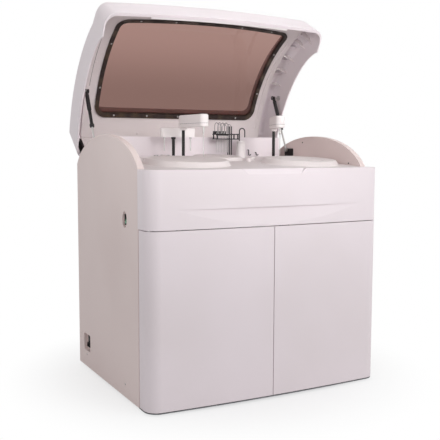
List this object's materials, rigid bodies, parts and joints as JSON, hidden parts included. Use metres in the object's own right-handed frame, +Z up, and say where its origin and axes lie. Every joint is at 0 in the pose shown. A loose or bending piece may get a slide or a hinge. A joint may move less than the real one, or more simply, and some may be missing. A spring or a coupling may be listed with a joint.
{
  "type": "clinical chemistry analyzer",
  "caption": "Floor-standing clinical chemistry analyzer with a raised glazed lid, arched side wings, sampling arms, covered carousels, a wash station and bowed front doors.",
  "frame": {"origin": "on the floor under the middle of the machine", "axes": "+X to the operator's right, +Y to the back, +Z up"},
  "size_m": [1.02, 0.942, 1.5108],
  "materials": {
    "cabinet_white": "fine satin powder coat",
    "moulded_white": "satin moulding",
    "liner_grey": "fine texture",
    "gasket_black": "matt",
    "smoked_glass": "polished",
    "deck_white": "satin",
    "cover_grey": "satin",
    "arm_white": "satin",
    "black_steel": "satin black",
    "bright_steel": "ground",
    "zinc_sheet": "dull zinc",
    "black_plastic": "satin",
    "green_rocker": "gloss",
    "vessel_plastic": "satin",
    "bottle_plastic": "milky",
    "cap_blue": "satin",
    "foot_rubber": "matt",
    "clear_tube": "gloss"
  },
  "bodies": {
    "cabinet": {"floor_tray": "zinc_sheet", "levelling_feet": "foot_rubber", "left_side_panel": "cabinet_white", "right_side_panel": "cabinet_white", "rear_panel": "cabinet_white", "front_fascia": "moulded_white", "work_deck": "deck_white", "rear_cover": "moulded_white", "hinge_wells": "black_steel", "hinge_pins": "bright_steel", "bay_panels": "zinc_sheet", "sample_well": "black_plastic", "reagent_well": "black_plastic", "reaction_well": "black_plastic", "reaction_cover": "cover_grey", "wash_rods": "black_steel", "wash_tower": "arm_white", "feed_tube": "black_plastic", "wash_cups": "cover_grey", "arm_bearings": "black_plastic", "wing_brackets": "black_steel", "mains_inlet": "black_plastic", "switch_bezel": "black_plastic", "bottles": "bottle_plastic", "bottle_caps": "cap_blue", "pump_module": "black_plastic", "power_supply": "zinc_sheet", "door_catches": "black_plastic"},
    "lid": {"lid_shell": "moulded_white", "lid_liner": "liner_grey", "window_gasket": "gasket_black", "window_pane": "smoked_glass", "lid_front_strip": "arm_white", "hinge_arms": "black_steel", "spring_studs": "bright_steel"},
    "left_tube": {"left_spring_tube": "black_steel"},
    "right_tube": {"right_spring_tube": "black_steel"},
    "left_rod": {"left_spring_rod": "bright_steel"},
    "right_rod": {"right_spring_rod": "bright_steel"},
    "left_door": {"left_door": "moulded_white"},
    "right_door": {"right_door": "moulded_white"},
    "sample_cover": {"sample_cover": "cover_grey"},
    "reagent_cover": {"reagent_cover": "cover_grey"},
    "sample_rotor": {"sample_rotor": "vessel_plastic"},
    "reagent_rotor": {"reagent_rotor": "vessel_plastic"},
    "reaction_rotor": {"reaction_rotor": "vessel_plastic"},
    "front_column": {"front_arm_column": "black_steel"},
    "front_arm": {"front_arm": "arm_white", "front_probe": "bright_steel"},
    "right_column": {"right_arm_column": "black_steel"},
    "right_arm": {"right_arm": "arm_white", "right_probe": "bright_steel"},
    "mixer_column": {"mixer_column": "black_steel"},
    "mixer_bar": {"mixer_bar": "arm_white"},
    "left_paddle": {"left_paddle": "bright_steel"},
    "right_paddle": {"right_paddle": "bright_steel"},
    "wash_head": {"wash_head": "black_plastic", "wash_needles": "bright_steel", "wash_tubes": "clear_tube"},
    "power_rocker": {"power_rocker": "green_rocker"}
  },
  "joints": [
    {"name": "lid_hinge", "type": "hinge", "parent": "cabinet", "child": "lid", "pos_m": [0, 0.2354, 0.8416], "axis": [-1, 0, 0], "range_deg": [-62, 0]},
    {"name": "left_tube_pivot", "type": "hinge", "parent": "lid", "child": "left_tube", "pos_m": [-0.475, 0.31332, 1.20287], "axis": [-1, 0, 0], "range_deg": [-24.85, 0]},
    {"name": "left_rod_slide", "type": "slide", "parent": "left_tube", "child": "left_rod", "axis": [0, -0.4238, -0.9058], "range_m": [-0.00449, 0]},
    {"name": "right_tube_pivot", "type": "hinge", "parent": "lid", "child": "right_tube", "pos_m": [0.475, 0.31332, 1.20287], "axis": [-1, 0, 0], "range_deg": [-24.85, 0]},
    {"name": "right_rod_slide", "type": "slide", "parent": "right_tube", "child": "right_rod", "axis": [0, -0.4238, -0.9058], "range_m": [-0.00449, 0]},
    {"name": "left_door_hinge", "type": "hinge", "parent": "cabinet", "child": "left_door", "pos_m": [-0.502, -0.369, 0.34], "axis": [0, 0, -1], "range_deg": [0, 100]},
    {"name": "right_door_hinge", "type": "hinge", "parent": "cabinet", "child": "right_door", "pos_m": [0.502, -0.369, 0.34], "axis": [0, 0, 1], "range_deg": [0, 100]},
    {"name": "sample_cover_lift", "type": "slide", "parent": "cabinet", "child": "sample_cover", "axis": [0, -0.0645, 0.9979], "range_m": [0, 0.05]},
    {"name": "reagent_cover_lift", "type": "slide", "parent": "cabinet", "child": "reagent_cover", "axis": [0, -0.0645, 0.9979], "range_m": [0, 0.05]},
    {"name": "sample_rotor_spin", "type": "hinge", "parent": "cabinet", "child": "sample_rotor", "pos_m": [-0.22, -0.158, 0.89793], "axis": [0, -0.0645, 0.9979], "continuous": true},
    {"name": "reagent_rotor_spin", "type": "hinge", "parent": "cabinet", "child": "reagent_rotor", "pos_m": [0.3, -0.183, 0.89632], "axis": [0, -0.0645, 0.9979], "continuous": true},
    {"name": "reaction_rotor_spin", "type": "hinge", "parent": "cabinet", "child": "reaction_rotor", "pos_m": [0.03, 0.06, 0.91203], "axis": [0, -0.0645, 0.9979], "continuous": true},
    {"name": "front_column_lift", "type": "slide", "parent": "cabinet", "child": "front_column", "axis": [0, 0, 1], "range_m": [0, 0.075]},
    {"name": "front_arm_swivel", "type": "hinge", "parent": "front_column", "child": "front_arm", "pos_m": [-0.15, 0.022, 1.046], "axis": [0, 0, 1], "range_deg": [0, 73]},
    {"name": "right_column_lift", "type": "slide", "parent": "cabinet", "child": "right_column", "axis": [0, 0, 1], "range_m": [0, 0.075]},
    {"name": "right_arm_swivel", "type": "hinge", "parent": "right_column", "child": "right_arm", "pos_m": [0.277, -0.008, 1.046], "axis": [0, 0, -1], "range_deg": [0, 82]},
    {"name": "mixer_lift", "type": "slide", "parent": "cabinet", "child": "mixer_column", "axis": [0, 0, 1], "range_m": [0, 0.06]},
    {"name": "mixer_swivel", "type": "hinge", "parent": "mixer_column", "child": "mixer_bar", "pos_m": [-0.164, 0.092, 1.006], "axis": [0, 0, -1], "range_deg": [0, 45]},
    {"name": "left_paddle_spin", "type": "hinge", "parent": "mixer_bar", "child": "left_paddle", "pos_m": [-0.207, 0.092, 1], "axis": [0, 0, 1], "continuous": true},
    {"name": "right_paddle_spin", "type": "hinge", "parent": "mixer_bar", "child": "right_paddle", "pos_m": [-0.083, 0.092, 1], "axis": [0, 0, 1], "continuous": true},
    {"name": "wash_head_lift", "type": "slide", "parent": "cabinet", "child": "wash_head", "axis": [0, 0, 1], "range_m": [0, 0.03]},
    {"name": "power_rocker_tip", "type": "hinge", "parent": "cabinet", "child": "power_rocker", "pos_m": [-0.4985, -0.227, 0.694], "axis": [0, -1, 0], "range_deg": [0, 16]}
  ],
  "couplings": [
    {"joint": "left_tube_pivot", "follows": "lid_hinge", "ratio": 0.40049},
    {"joint": "left_rod_slide", "follows": "lid_hinge", "m_per_rad": 0.0041312},
    {"joint": "right_tube_pivot", "follows": "lid_hinge", "ratio": 0.40049},
    {"joint": "right_rod_slide", "follows": "lid_hinge", "m_per_rad": 0.0041312}
  ]
}
